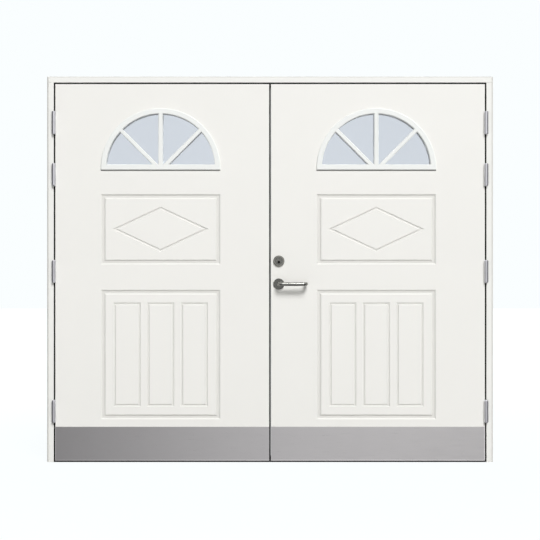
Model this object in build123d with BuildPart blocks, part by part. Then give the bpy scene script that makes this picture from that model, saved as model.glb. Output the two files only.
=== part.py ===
from build123d import *
from math import hypot
import os

os.makedirs("parts", exist_ok=True)

# A side-hung double garage door in its timber frame, in millimetres. X runs along the
# opening, Y into the garage and Z up. The origin is the middle of the threshold's underside,
# at half the depth of the frame.

# Frame
frame_width = 2390
frame_height = 2066
frame_depth = 105
jamb_face = 36
head_face = 33
frame_chamfer = 6
frame_round = 2.5
stop_overlap = 14
stop_joint = 0.3
fixing_radius = 7
fixing_from_back = 20.5
fixing_low = 200
fixing_top_gap = 183
fixing_count = 4

# Threshold
threshold_setback = 4
threshold_base = 5
threshold_height = 24
threshold_top = 26
threshold_back_height = 11
threshold_wall = 3
threshold_front_wall = 7

# Leaves
leaf_thickness = 60
edge_gap = 8
bottom_gap = 8
meeting_gap = 9
outer_skin = 10
inner_skin = 8
leaf_round = 2
hinge_stile = 100
meeting_stile = 110
top_rail = 95
bottom_rail = 190
middle_rail = 95
field_offset = -8.5

# Fan window: its half-round head springs a little above its straight foot
fan_radius = 320
fan_head_gap = 130
fan_stilt = 10
fan_ring = 29
fan_overlap = 14
fan_lining = 20
fan_proud = 9
fan_chamfer = 3
fan_upright_bar = 24
fan_diagonal_bar = 21.6
fan_fit = 0.5
glass_setback = 12.5
pane_thickness = 4
pane_gap = 12
pane_cover = 11
spacer_width = 9

# Routed panels: wide grooves around each panel, narrow ones inside it
wide_groove = 26
wide_groove_wall = 8
wide_groove_depth = 4.5
narrow_groove = 14
narrow_groove_wall = 4.5
narrow_groove_depth = 3.5
panel_width = 640
window_gap = 129.5
upper_panel_height = 377
panel_gap = 135.5
lower_panel_rise = 221
diamond_width = 500
diamond_height = 241
upright_field_width = 146
upright_field_margin = 68.5
upright_field_pitch = 180
upright_field_count = 3

# Kick plate
kick_plate_height = 181
kick_plate_thickness = 1.2

# Rubber seals
gasket_gap = 4
gasket_width = 8
gasket_stem = 3
gasket_stem_depth = 4
gasket_low_z = 16
gasket_clearance = 0.3
seal_setback = 4
seal_width = 5
seal_stem = 2.6
seal_stem_depth = 4
seal_clearance = 0.5
seal_meeting_clearance = 1

# Hinges: lift-off, the leaf half above and the frame half with the pin below. The upper ones
# are set out from the top of the leaf, the lowest from its foot.
hinge_drops = (208, 486, 1004)
hinge_rise = 264
hinge_height = 122
hinge_axis_inset = 2
hinge_face_clearance = 0.5
knuckle_radius = 10.5
knuckle_plain_chamfer = 1
knuckle_tip_chamfer = 4.5
knuckle_end_play = 0.3
pin_radius = 5
pin_clearance = 0.05
pin_headroom = 10
hinge_plate = 3
hinge_plate_depth = 42

# Lock set in the meeting stile of the right leaf
lock_x = 47
handle_z = 954
cylinder_z = 1077
case_height = 230
case_depth = 74
case_thickness = 16
case_wall = 1.5
case_fit = 0.3
forend_width = 24
forend_height = 270
forend_thickness = 3
bolt_fit = 0.3
bolt_setback = 0.5
bolt_thickness = 12
latch_height = 32
latch_length = 44
latch_drop = 10
latch_nose_edge = 2
deadbolt_height = 28
deadbolt_length = 46
deadbolt_rise = 33
deadbolt_chamfer = 1
strike_fit = 1
strike_depth = 27
rosette_radius = 29.5
rosette_height = 9
rosette_edge = 5
rosette_taper = 3.5
neck_fit = 0.1
spindle_side = 9
spindle_fit = 0.1
spindle_reach = 26
spindle_end_gap = 1
spindle_hole_radius = 14
follower_radius = 7.5
lever_radius = 10.5
lever_projection = 52
lever_reach = 156
lever_bend = 18
lever_end_gap = 18
lever_end_round = 4
lever_foot_gap = 1
ring_height = 13
ring_edge = 6
ring_face_radius = 24
ring_lip = 2
cylinder_radius = 16.5
cylinder_fit = 0.5
cylinder_recess = 1
plug_radius = 7.5
plug_drop = 6
plug_fit = 0.05
plug_proud = 0.6
keyway_width = 2.4
keyway_height = 9
keyway_depth = 14
tail_radius = 3
tail_gap = 3
tail_hole_radius = 12
turn_rosette_radius = 26
turn_rosette_height = 8
turn_hub_radius = 10
turn_hub_step = 2
turn_wing_length = 38
turn_wing_width = 12
turn_wing_height = 15
turn_wing_round = 2

# Tower bolts on the inner face of the left leaf
tower_x = -42
tower_bolt_radius = 6
tower_bolt_length = 250
tower_bolt_chamfer = 1.5
tower_bolt_standoff = 19.5
tower_bolt_fit = 0.1
tower_bolt_gap = 4
tower_end_margin = 22
tower_plate = 3
tower_plate_width = 40
tower_plate_height = 214
lug_width = 24
lug_height = 20
lug_wall = 4
knob_radius = 5
knob_reach = 22
knob_head_radius = 8
knob_head_height = 6
keep_plate = 3
keep_width = 34
keep_wall = 3
keep_slot = 15
keep_depth = 26
threshold_slot = 15

# Places on the frame
front = -frame_depth / 2
back = frame_depth / 2
rebate_x = frame_width / 2 - jamb_face
rebate_z = frame_height - head_face
leaf_front = front
leaf_back = front + leaf_thickness
stop_front = leaf_back + gasket_gap
leaf_edge_x = rebate_x - edge_gap
leaf_top = rebate_z - edge_gap
stop_x = leaf_edge_x - stop_overlap
stop_z = leaf_top - stop_overlap
fixing_y = back - fixing_from_back
fixing_pitch = (rebate_z - fixing_top_gap - fixing_low) / (fixing_count - 1)
fixing_heights = [fixing_low + fixing_pitch * i for i in range(fixing_count)]
hinge_heights = [leaf_top - drop for drop in hinge_drops] + [bottom_gap + hinge_rise]

# Places on the leaves
leaf_inner_x = meeting_gap / 2
leaf_mid_x = (leaf_edge_x + leaf_inner_x) / 2
timber_front = leaf_front + outer_skin
timber_back = leaf_back - inner_skin
glass_front = leaf_front + glass_setback
glass_back = glass_front + 2 * pane_thickness + pane_gap
fan_spring_z = leaf_top - fan_head_gap - fan_radius
fan_foot_z = fan_spring_z - fan_stilt
lining_foot_z = fan_foot_z + fan_overlap - fan_lining
upper_panel_z = fan_foot_z - window_gap - upper_panel_height / 2
lower_panel_low = bottom_gap + lower_panel_rise
lower_panel_high = upper_panel_z - upper_panel_height / 2 - panel_gap
lower_panel_height = lower_panel_high - lower_panel_low
lower_panel_z = (lower_panel_low + lower_panel_high) / 2
upright_field_height = lower_panel_height - 2 * upright_field_margin
hinge_axis_x = rebate_x - hinge_axis_inset
hinge_axis_y = front - hinge_face_clearance - knuckle_radius
seal_y = leaf_front + seal_setback

# Places on the lock and the tower bolts
lock_y = (leaf_front + leaf_back) / 2
lock_z = (handle_z + cylinder_z) / 2
case_x = leaf_inner_x + forend_thickness
latch_z = lock_z - latch_drop
deadbolt_z = cylinder_z + deadbolt_rise
bolt_x = leaf_inner_x + bolt_setback
plug_z = cylinder_z - plug_drop
tower_y = leaf_back + tower_bolt_standoff
top_bolt_tip_z = stop_z - tower_bolt_gap
bottom_bolt_tip_z = threshold_height + tower_bolt_gap

sides = {"left": -1, "right": 1}


# The upright plane at depth y, facing out of the garage: X to the right and Z up
def facing(y):
    return Plane.XZ.offset(-y)


# A box between two values on each axis
def block(x, y, z, mode=Mode.ADD):
    with Locations((sum(x) / 2, sum(y) / 2, sum(z) / 2)):
        Box(abs(x[1] - x[0]), abs(y[1] - y[0]), abs(z[1] - z[0]), mode=mode)


# A rectangle between two values on each axis of a sketch
def panel(u, v, mode=Mode.ADD):
    with Locations((sum(u) / 2, sum(v) / 2)):
        Rectangle(abs(u[1] - u[0]), abs(v[1] - v[0]), mode=mode)


# A round hole or rod along Y at the place (x, z), from depth y[0] to y[1]
def round_along_y(x, z, radius, y, mode=Mode.ADD):
    with Locations(Location((x, sum(y) / 2, z), (90, 0, 0))):
        Cylinder(radius, abs(y[1] - y[0]), mode=mode)


# Thickens the sketches that stand at depth y[0] to depth y[1]
def thicken_to(y, mode=Mode.ADD):
    extrude(amount=y[0] - y[1], mode=mode)


def save(piece, name):
    piece.part.label = name
    export_step(piece.part, f"parts/{name}.step")


def span(middle, length):
    return (middle - length / 2, middle + length / 2)


# The gasket's stem as a ring, which also cuts its groove into the stops and the threshold
def gasket_ring(width):
    x = (stop_x + leaf_edge_x) / 2
    z = (gasket_low_z, (stop_z + leaf_top) / 2)
    with BuildSketch() as ring:
        panel((-x - width / 2, x + width / 2), (z[0] - width / 2, z[1] + width / 2))
        panel((-x + width / 2, x - width / 2), (z[0] + width / 2, z[1] - width / 2), Mode.SUBTRACT)
    return ring.sketch


with BuildPart() as gasket_groove:
    with BuildSketch(facing(stop_front)):
        add(gasket_ring(gasket_stem))
    thicken_to((stop_front, stop_front + gasket_stem_depth))


# The screw holes through the jambs and the stops behind the leaves
def cut_fixing_holes(side):
    outer_x = side * frame_width / 2
    with Locations([Location((outer_x, fixing_y, z), (0, 90, 0)) for z in fixing_heights]):
        Cylinder(fixing_radius, frame_width - 2 * stop_x, mode=Mode.SUBTRACT)


# Frame: a jamb at each side, flush with the face of the leaf
def frame_jamb(name, side):
    outer_x = side * frame_width / 2
    with BuildPart() as jamb:
        with BuildSketch() as section:
            panel((side * rebate_x, outer_x), (front, back))
            chamfer(section.vertices().sort_by_distance((outer_x, front))[0], frame_chamfer)
            fillet(section.vertices().sort_by_distance((side * rebate_x, front))[0], frame_round)
        extrude(amount=rebate_z)
        for z in hinge_heights:
            block(
                (side * rebate_x, side * (rebate_x + hinge_plate)),
                (front, front + hinge_plate_depth),
                span(z, hinge_height),
                Mode.SUBTRACT,
            )
        cut_fixing_holes(side)
    save(jamb, name)


for side_name, side in sides.items():
    frame_jamb(f"frame_jamb_{side_name}", side)

# The keep of the top bolt is let into the head's stop, and its slot runs on into the head
def cut_top_bolt_keep():
    block(
        span(tower_x, keep_width),
        span(tower_y, keep_slot + 2 * keep_wall),
        (stop_z, stop_z + keep_plate),
        Mode.SUBTRACT,
    )
    block(span(tower_x, keep_slot), span(tower_y, keep_slot), (stop_z, stop_z + keep_depth), Mode.SUBTRACT)


# The head runs over both jambs
with BuildPart() as frame_head:
    block((-frame_width / 2, frame_width / 2), (front, back), (rebate_z, frame_height))
    chamfer(frame_head.faces().sort_by(Axis.Y)[0].edges().sort_by(Axis.Z)[1:], frame_chamfer)
    fillet(frame_head.faces().sort_by(Axis.Y)[0].edges().sort_by(Axis.Z)[0], frame_round)
    cut_top_bolt_keep()
save(frame_head, "frame_head")

# The stops are strips planted on the jambs and under the head, with a groove for the gasket
with BuildPart() as frame_stops:
    for side in sides.values():
        block((side * stop_x, side * rebate_x), (stop_front, back), (0, rebate_z))
        cut_fixing_holes(side)
    block((stop_joint - stop_x, stop_x - stop_joint), (stop_front, back), (stop_z, rebate_z))
    cut_top_bolt_keep()
    add(gasket_groove.part, mode=Mode.SUBTRACT)
save(frame_stops, "frame_stops")

# A steel plate under the head's stop takes the top bolt
with BuildPart() as top_bolt_keep:
    block(
        span(tower_x, keep_width),
        span(tower_y, keep_slot + 2 * keep_wall),
        (stop_z, stop_z + keep_plate),
    )
    block(span(tower_x, keep_slot), span(tower_y, keep_slot), (stop_z, stop_z + keep_plate), Mode.SUBTRACT)
save(top_bolt_keep, "top_bolt_keep")

# The threshold: a thin foot under the leaves, and a hollow profile behind them as their stop
with BuildPart() as threshold_foot:
    block((-rebate_x, rebate_x), (front + threshold_setback, stop_front), (0, threshold_base))
save(threshold_foot, "threshold_foot")

upstand_corners = (
    (stop_front, 0),
    (stop_front, threshold_height),
    (stop_front + threshold_top, threshold_height),
    (back, threshold_back_height),
    (back, 0),
)
with BuildPart() as threshold:
    with BuildSketch(Plane.YZ):
        Polygon(*upstand_corners, align=None)
    extrude(amount=stop_x, both=True)
    with BuildSketch(Plane.YZ):
        Polygon(*upstand_corners, align=None)
        offset(amount=-threshold_wall, kind=Kind.INTERSECTION, mode=Mode.REPLACE)
        panel((stop_front, stop_front + threshold_front_wall), (0, threshold_height), Mode.SUBTRACT)
    extrude(amount=stop_x, both=True, mode=Mode.SUBTRACT)
    block(
        span(tower_x, threshold_slot),
        span(tower_y, threshold_slot),
        (threshold_wall, threshold_height),
        Mode.SUBTRACT,
    )
    add(gasket_groove.part, mode=Mode.SUBTRACT)
save(threshold, "threshold")

# One rubber gasket runs all round the stop, and the closed leaves press on it
with BuildPart() as frame_gasket:
    with BuildSketch(facing(stop_front)):
        add(gasket_ring(gasket_width))
    thicken_to((stop_front, stop_front - gasket_gap + gasket_clearance))
    add(gasket_groove.part)
save(frame_gasket, "frame_gasket")


# Hinges. The knuckles stand in front of the gap, on the axis that the leaf turns about.
def hinge_knuckle(side, z, end, tip_chamfer):
    with Locations(Location((side * hinge_axis_x, hinge_axis_y, sum(z) / 2))):
        Cylinder(knuckle_radius, z[1] - z[0])
    rims = edges().filter_by(GeomType.CIRCLE).sort_by(Axis.Z)
    chamfer(rims[-1] if end == "top" else rims[0], tip_chamfer)


def hinge_frame_half(side, centre, tip_chamfer):
    low, high = span(centre, hinge_height)
    plate_x = (side * rebate_x, side * (rebate_x + hinge_plate))
    with BuildPart() as half:
        hinge_knuckle(side, (low, centre - knuckle_end_play), "bottom", tip_chamfer)
        block(plate_x, (hinge_axis_y, front), (low + tip_chamfer, centre - knuckle_end_play))
        block(plate_x, (front, front + hinge_plate_depth), (low, high))
        pin_top = high - pin_headroom - knuckle_end_play
        with Locations((side * hinge_axis_x, hinge_axis_y, (centre + pin_top) / 2 - knuckle_end_play)):
            Cylinder(pin_radius, pin_top - centre)
    return half.part


def hinge_leaf_half(side, centre, tip_chamfer):
    low, high = span(centre, hinge_height)
    plate_x = (side * (leaf_edge_x - hinge_plate), side * leaf_edge_x)
    with BuildPart() as half:
        hinge_knuckle(side, (centre, high), "top", tip_chamfer)
        block(plate_x, (hinge_axis_y, front), (centre, high - tip_chamfer))
        block(plate_x, (front, front + hinge_plate_depth), (low, high))
        with Locations((side * hinge_axis_x, hinge_axis_y, (centre + high - pin_headroom) / 2)):
            Cylinder(pin_radius + pin_clearance, high - pin_headroom - centre, mode=Mode.SUBTRACT)
    return half.part


# The halves of one kind on one side are kept together. The topmost hinge has plain ends, the
# others tapered tips.
for side_name, side in sides.items():
    for kind, make_half in (("frame", hinge_frame_half), ("leaf", hinge_leaf_half)):
        with BuildPart() as halves:
            for number, centre in enumerate(hinge_heights):
                add(make_half(side, centre, knuckle_tip_chamfer if number else knuckle_plain_chamfer))
        save(halves, f"{side_name}_hinge_{kind}_halves")


# Where the hinge plates are let into the edge of a leaf
def cut_hinge_plates(side):
    for z in hinge_heights:
        block(
            (side * (leaf_edge_x - hinge_plate), side * leaf_edge_x),
            (front, front + hinge_plate_depth),
            span(z, hinge_height),
            Mode.SUBTRACT,
        )


# The middle of the window and of the panels lies a little left of the middle of each leaf
def field_x(side):
    return side * leaf_mid_x + field_offset


def leaf_outline(side):
    panel((side * leaf_inner_x, side * leaf_edge_x), (bottom_gap, leaf_top))


# The half-round outline of the window, drawn in from its edge by inset
def fan_shape(side, inset):
    x = field_x(side)
    radius = fan_radius - inset
    foot = fan_foot_z + inset
    with BuildSketch() as fan:
        with Locations((x, fan_spring_z)):
            Circle(radius)
        panel((x - radius, x + radius), (fan_spring_z - radius, fan_spring_z))
        panel((x - radius, x + radius), (fan_spring_z - radius, foot), Mode.SUBTRACT)
    return fan.sketch


# The four glazed fields between the ring and the bars, which meet at the foot
def fan_fields(side):
    bars = ((fan_upright_bar, 0), (fan_diagonal_bar, 45), (fan_diagonal_bar, -45))
    with BuildSketch() as fields:
        add(fan_shape(side, fan_ring))
        with Locations((field_x(side), fan_foot_z)):
            for width, turn in bars:
                Rectangle(width, 3 * fan_radius, rotation=turn, mode=Mode.SUBTRACT)
    return fields.sketch


# A glazing frame: a flange that stands proud of the skin and a sleeve that reaches the glass
def fan_frame(name, side, face, proud, glass):
    with BuildPart() as frame:
        with BuildSketch(facing(proud)):
            add(fan_shape(side, 0))
            add(fan_fields(side), mode=Mode.SUBTRACT)
        thicken_to((proud, face))
        arrises = frame.edges().group_by(Axis.Y)[0 if proud < face else -1]
        chamfer(arrises, fan_chamfer)
        with BuildSketch(facing(face)):
            add(fan_shape(side, fan_overlap + fan_fit))
            add(fan_fields(side), mode=Mode.SUBTRACT)
        thicken_to((face, glass))
    save(frame, name)


def glazing(name, side):
    with BuildPart() as panes:
        for pane_front in (glass_front, glass_back - pane_thickness):
            with BuildSketch(facing(pane_front)):
                add(fan_shape(side, fan_ring - pane_cover))
            thicken_to((pane_front, pane_front + pane_thickness))
    save(panes, f"{name}_glass_panes")
    with BuildPart() as spacer:
        with BuildSketch(facing(glass_front + pane_thickness)):
            add(fan_shape(side, fan_ring - pane_cover))
            add(fan_shape(side, fan_ring - pane_cover + spacer_width), mode=Mode.SUBTRACT)
        thicken_to((glass_front + pane_thickness, glass_back - pane_thickness))
    save(spacer, f"{name}_glass_spacer")


# Outlines of routed grooves, grown outwards by grow from the middle of the groove
def rectangle_outline(centre, width, height):
    def draw(grow):
        with Locations(centre):
            Rectangle(width + 2 * grow, height + 2 * grow)

    return draw


def diamond_outline(centre, width, height):
    slant = hypot(width, height)

    def draw(grow):
        half_width = width / 2 + grow * slant / height
        half_height = height / 2 + grow * slant / width
        corners = ((half_width, 0), (0, half_height), (-half_width, 0), (0, -half_height))
        with Locations(centre):
            Polygon(*corners, align=None)

    return draw


# A groove with sloping walls: what the router takes out of the face of the skin
def groove_cutter(draw, width, wall, depth):
    with BuildPart() as cutter:
        with BuildSketch(facing(leaf_front)):
            draw(width / 2)
        with BuildSketch(facing(leaf_front + depth)):
            draw(width / 2 - wall)
        loft()
        with BuildSketch(facing(leaf_front)):
            draw(-width / 2)
        with BuildSketch(facing(leaf_front + depth)):
            draw(wall - width / 2)
        loft(mode=Mode.SUBTRACT)
    return cutter.part


def groove_cutters(side):
    x = field_x(side)
    wide = (wide_groove, wide_groove_wall, wide_groove_depth)
    narrow = (narrow_groove, narrow_groove_wall, narrow_groove_depth)
    panels = ((upper_panel_z, upper_panel_height), (lower_panel_z, lower_panel_height))
    cutters = []
    for z, height in panels:
        draw = rectangle_outline((x, z), panel_width - wide_groove, height - wide_groove)
        cutters.append(groove_cutter(draw, *wide))
    draw = diamond_outline((x, upper_panel_z), diamond_width - narrow_groove, diamond_height - narrow_groove)
    cutters.append(groove_cutter(draw, *narrow))
    middle = (upright_field_count - 1) / 2
    for number in range(upright_field_count):
        centre = (x + (number - middle) * upright_field_pitch, lower_panel_z)
        draw = rectangle_outline(
            centre, upright_field_width - narrow_groove, upright_field_height - narrow_groove
        )
        cutters.append(groove_cutter(draw, *narrow))
    return cutters


def outer_skin_piece(name, side):
    cutters = groove_cutters(side)
    with BuildPart() as skin:
        with BuildSketch(facing(leaf_front)):
            leaf_outline(side)
        thicken_to((leaf_front, timber_front))
        fillet(skin.faces().sort_by(Axis.Y)[0].edges(), leaf_round)
        with BuildSketch(facing(leaf_front)):
            add(fan_shape(side, fan_overlap))
        thicken_to((leaf_front, timber_front), Mode.SUBTRACT)
        for cutter in cutters:
            add(cutter, mode=Mode.SUBTRACT)
        cut_hinge_plates(side)
        add(seal_grooves[side], mode=Mode.SUBTRACT)
        if side > 0:
            round_along_y(lock_x, handle_z, spindle_hole_radius, (leaf_front, timber_front), Mode.SUBTRACT)
            round_along_y(
                lock_x, cylinder_z, cylinder_radius + cylinder_fit, (leaf_front, timber_front), Mode.SUBTRACT
            )
    save(skin, name)


def inner_skin_piece(name, side):
    with BuildPart() as skin:
        with BuildSketch(facing(timber_back)):
            leaf_outline(side)
            add(fan_shape(side, fan_overlap), mode=Mode.SUBTRACT)
        thicken_to((timber_back, leaf_back))
        if side > 0:
            round_along_y(lock_x, handle_z, spindle_hole_radius, (timber_back, leaf_back), Mode.SUBTRACT)
            round_along_y(lock_x, cylinder_z, tail_hole_radius, (timber_back, leaf_back), Mode.SUBTRACT)
    save(skin, name)


# The two fields between stiles and rails, which the insulation fills
def core_fields(side):
    x = (side * (leaf_inner_x + meeting_stile), side * (leaf_edge_x - hinge_stile))
    with BuildSketch() as fields:
        panel(x, (bottom_gap + bottom_rail, lining_foot_z - middle_rail))
        panel(x, (lining_foot_z, leaf_top - top_rail))
        add(fan_shape(side, fan_overlap - fan_lining), mode=Mode.SUBTRACT)
    return fields.sketch


def cut_lock_mortise():
    block(
        (leaf_inner_x, case_x), span(lock_y, forend_width), span(lock_z, forend_height), Mode.SUBTRACT
    )
    block(
        (case_x, case_x + case_depth + case_fit),
        span(lock_y, case_thickness + 2 * case_fit),
        span(lock_z, case_height + 2 * case_fit),
        Mode.SUBTRACT,
    )
    round_along_y(lock_x, handle_z, spindle_hole_radius, (timber_front, timber_back), Mode.SUBTRACT)
    round_along_y(
        lock_x, cylinder_z, cylinder_radius + cylinder_fit, (timber_front, lock_y), Mode.SUBTRACT
    )
    round_along_y(lock_x, cylinder_z, tail_hole_radius, (lock_y, timber_back), Mode.SUBTRACT)


def strike_slot(z, height, depth):
    block(
        (-leaf_inner_x, -leaf_inner_x - depth),
        span(lock_y, bolt_thickness + 2 * strike_fit),
        span(z, height + 2 * strike_fit),
        Mode.SUBTRACT,
    )


# The timber between the skins: stiles over the full height, rails fitted between them, and a
# lining bent round the window
def timber(x, z):
    block(x, (timber_front, timber_back), z)


def meeting_stile_piece(name, side):
    with BuildPart() as stile:
        timber((side * leaf_inner_x, side * (leaf_inner_x + meeting_stile)), (bottom_gap, leaf_top))
        if side > 0:
            cut_lock_mortise()
        else:
            block(
                (-leaf_inner_x, -leaf_inner_x - forend_thickness),
                span(lock_y, forend_width),
                span(lock_z, forend_height),
                Mode.SUBTRACT,
            )
            strike_slot(latch_z, latch_height, strike_depth)
            strike_slot(deadbolt_z, deadbolt_height, strike_depth)
    save(stile, name)


def hinge_stile_piece(name, side):
    with BuildPart() as stile:
        timber((side * (leaf_edge_x - hinge_stile), side * leaf_edge_x), (bottom_gap, leaf_top))
        cut_hinge_plates(side)
    save(stile, name)


def rail_piece(name, side, z):
    with BuildPart() as rail:
        timber((side * (leaf_inner_x + meeting_stile), side * (leaf_edge_x - hinge_stile)), z)
    save(rail, name)


def window_lining(name, side):
    with BuildPart() as lining:
        with BuildSketch(facing(timber_front)):
            add(fan_shape(side, fan_overlap - fan_lining))
            add(fan_shape(side, fan_overlap), mode=Mode.SUBTRACT)
        thicken_to((timber_front, timber_back))
    save(lining, name)


def core(name, side):
    with BuildPart() as fill:
        with BuildSketch(facing(timber_front)):
            add(core_fields(side))
        thicken_to((timber_front, timber_back))
    save(fill, name)


# A rubber strip in the edge of the leaf closes the gap to the frame, and on the left leaf
# also the gap between the leaves. It is left out where the hinges are.
def seal_sketch(side, inset, reach_x, reach_low, reach_high, reach_meeting):
    x_meeting = side * (leaf_inner_x - reach_meeting)
    x_hinge = side * (leaf_edge_x + reach_x)
    with BuildSketch() as ring:
        panel((x_meeting, x_hinge), (bottom_gap - reach_low, leaf_top + reach_high))
        inner_meeting = leaf_inner_x + inset if side < 0 else leaf_inner_x - reach_meeting
        panel(
            (side * inner_meeting, side * (leaf_edge_x - inset)),
            (bottom_gap + inset, leaf_top - inset),
            Mode.SUBTRACT,
        )
    return ring.sketch


def leaf_seal_grooves(side):
    with BuildPart() as groove:
        with BuildSketch(facing(seal_y + (seal_width - seal_stem) / 2)):
            add(seal_sketch(side, seal_stem_depth, 0, 0, 0, 0))
        extrude(amount=-seal_stem)
        for z in hinge_heights:
            block(
                (side * (leaf_edge_x - seal_stem_depth), side * leaf_edge_x),
                (seal_y, seal_y + seal_width),
                span(z, hinge_height),
                Mode.SUBTRACT,
            )
    return groove.part


seal_grooves = {side: leaf_seal_grooves(side) for side in sides.values()}


def leaf_seal(name, side):
    reach = edge_gap - seal_clearance
    reach_low = bottom_gap - threshold_base - seal_clearance
    reach_meeting = meeting_gap - seal_meeting_clearance if side < 0 else 0
    with BuildPart() as seal:
        with BuildSketch(facing(seal_y)):
            add(seal_sketch(side, 0, reach, reach_low, reach, reach_meeting))
        extrude(amount=-seal_width)
        for z in hinge_heights:
            block(
                (side * leaf_edge_x, side * rebate_x),
                (seal_y, seal_y + seal_width),
                span(z, hinge_height + 2 * seal_clearance),
                Mode.SUBTRACT,
            )
        add(seal_grooves[side])
    save(seal, name)


def kick_plate(name, side):
    with BuildPart() as plate:
        block(
            (side * leaf_inner_x, side * leaf_edge_x),
            (leaf_front - kick_plate_thickness, leaf_front),
            (bottom_gap, bottom_gap + kick_plate_height),
        )
    save(plate, name)


for side_name, side in sides.items():
    outer_skin_piece(f"{side_name}_outer_skin", side)
    inner_skin_piece(f"{side_name}_inner_skin", side)
    meeting_stile_piece(f"{side_name}_meeting_stile", side)
    hinge_stile_piece(f"{side_name}_hinge_stile", side)
    rail_piece(f"{side_name}_top_rail", side, (leaf_top - top_rail, leaf_top))
    rail_piece(f"{side_name}_middle_rail", side, (lining_foot_z - middle_rail, lining_foot_z))
    rail_piece(f"{side_name}_bottom_rail", side, (bottom_gap, bottom_gap + bottom_rail))
    window_lining(f"{side_name}_window_lining", side)
    core(f"{side_name}_core", side)
    fan_frame(f"{side_name}_fan_frame_outside", side, leaf_front, leaf_front - fan_proud, glass_front)
    fan_frame(f"{side_name}_fan_frame_inside", side, leaf_back, leaf_back + fan_proud, glass_back)
    glazing(side_name, side)
    kick_plate(f"{side_name}_kick_plate", side)
    leaf_seal(f"{side_name}_leaf_seal", side)

# Lock case: a steel box on its forend, with the bolts sliding in it
with BuildPart() as lock_case:
    block((case_x, case_x + case_depth), span(lock_y, case_thickness), span(lock_z, case_height))
    block(
        (case_x, case_x + case_depth - case_wall),
        span(lock_y, case_thickness - 2 * case_wall),
        span(lock_z, case_height - 2 * case_wall),
        Mode.SUBTRACT,
    )
    block((leaf_inner_x, case_x), span(lock_y, forend_width), span(lock_z, forend_height))
    for bolt_z, bolt_height in ((latch_z, latch_height), (deadbolt_z, deadbolt_height)):
        block(
            (leaf_inner_x, case_x),
            span(lock_y, bolt_thickness + 2 * bolt_fit),
            span(bolt_z, bolt_height + 2 * bolt_fit),
            Mode.SUBTRACT,
        )
    round_along_y(lock_x, handle_z, follower_radius, span(lock_y, case_thickness), Mode.SUBTRACT)
    round_along_y(lock_x, cylinder_z, tail_hole_radius, span(lock_y, case_thickness), Mode.SUBTRACT)
save(lock_case, "lock_case")

# The latch has a slanted nose, the deadbolt a square one
with BuildPart() as latch_bolt:
    block((bolt_x, bolt_x + latch_length), span(lock_y, bolt_thickness), span(latch_z, latch_height))
    nose = latch_bolt.edges().filter_by(Axis.Z).group_by(Axis.X)[0].sort_by(Axis.Y)[0]
    chamfer(nose, bolt_thickness - latch_nose_edge)
save(latch_bolt, "latch_bolt")

with BuildPart() as deadbolt:
    block(
        (bolt_x, bolt_x + deadbolt_length), span(lock_y, bolt_thickness), span(deadbolt_z, deadbolt_height)
    )
    chamfer(deadbolt.faces().sort_by(Axis.X)[0].edges(), deadbolt_chamfer)
save(deadbolt, "deadbolt")

with BuildPart() as strike_plate:
    block(
        (-leaf_inner_x, -leaf_inner_x - forend_thickness),
        span(lock_y, forend_width),
        span(lock_z, forend_height),
    )
    strike_slot(latch_z, latch_height, forend_thickness)
    strike_slot(deadbolt_z, deadbolt_height, forend_thickness)
save(strike_plate, "strike_plate")


# A turned piece around an axis along Y. The profile gives its radius at each height above
# the face of the leaf, which is at depth face; out is -1 outside and 1 inside.
def turned(profile, z, face, out):
    with BuildSketch(Plane.XY.offset(z)) as section:
        Polygon(*[(lock_x + radius, face + out * height) for radius, height in profile], align=None)
    revolve(section.sketch, axis=Axis((lock_x, 0, z), (0, 1, 0)))


def rosette(name, z, face, out, radius, height, bore):
    with BuildPart() as plate:
        turned(
            (
                (bore, 0),
                (radius, 0),
                (radius, rosette_edge),
                (radius - rosette_taper, height),
                (bore, height),
            ),
            z,
            face,
            out,
        )
    save(plate, name)


neck_bore = lever_radius + neck_fit
turn_bore = turn_hub_radius + neck_fit
rosette("outer_handle_rosette", handle_z, leaf_front, -1, rosette_radius, rosette_height, neck_bore)
rosette("inner_handle_rosette", handle_z, leaf_back, 1, rosette_radius, rosette_height, neck_bore)
rosette("thumb_turn_rosette", cylinder_z, leaf_back, 1, turn_rosette_radius, turn_rosette_height, turn_bore)

with BuildPart() as cylinder_ring:
    turned(
        (
            (cylinder_radius, 0),
            (rosette_radius, 0),
            (rosette_radius, ring_edge),
            (ring_face_radius, ring_height),
            (cylinder_radius + ring_lip, ring_height),
            (cylinder_radius, ring_height - ring_lip),
        ),
        cylinder_z,
        leaf_front,
        -1,
    )
save(cylinder_ring, "cylinder_ring")

cylinder_face = leaf_front - ring_height + cylinder_recess
case_front = lock_y - case_thickness / 2
with BuildPart() as lock_cylinder:
    round_along_y(lock_x, cylinder_z, cylinder_radius, (cylinder_face, case_front))
    round_along_y(lock_x, plug_z, plug_radius + plug_fit, (cylinder_face, case_front), Mode.SUBTRACT)
save(lock_cylinder, "lock_cylinder")

plug_face = cylinder_face - plug_proud
with BuildPart() as key_plug:
    round_along_y(lock_x, plug_z, plug_radius, (plug_face, case_front))
    round_along_y(lock_x, plug_z, tail_radius, (case_front, lock_y - tail_gap / 2))
    block(
        span(lock_x, keyway_width),
        (plug_face, plug_face + keyway_depth),
        span(plug_z, keyway_height),
        Mode.SUBTRACT,
    )
save(key_plug, "key_plug")

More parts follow.
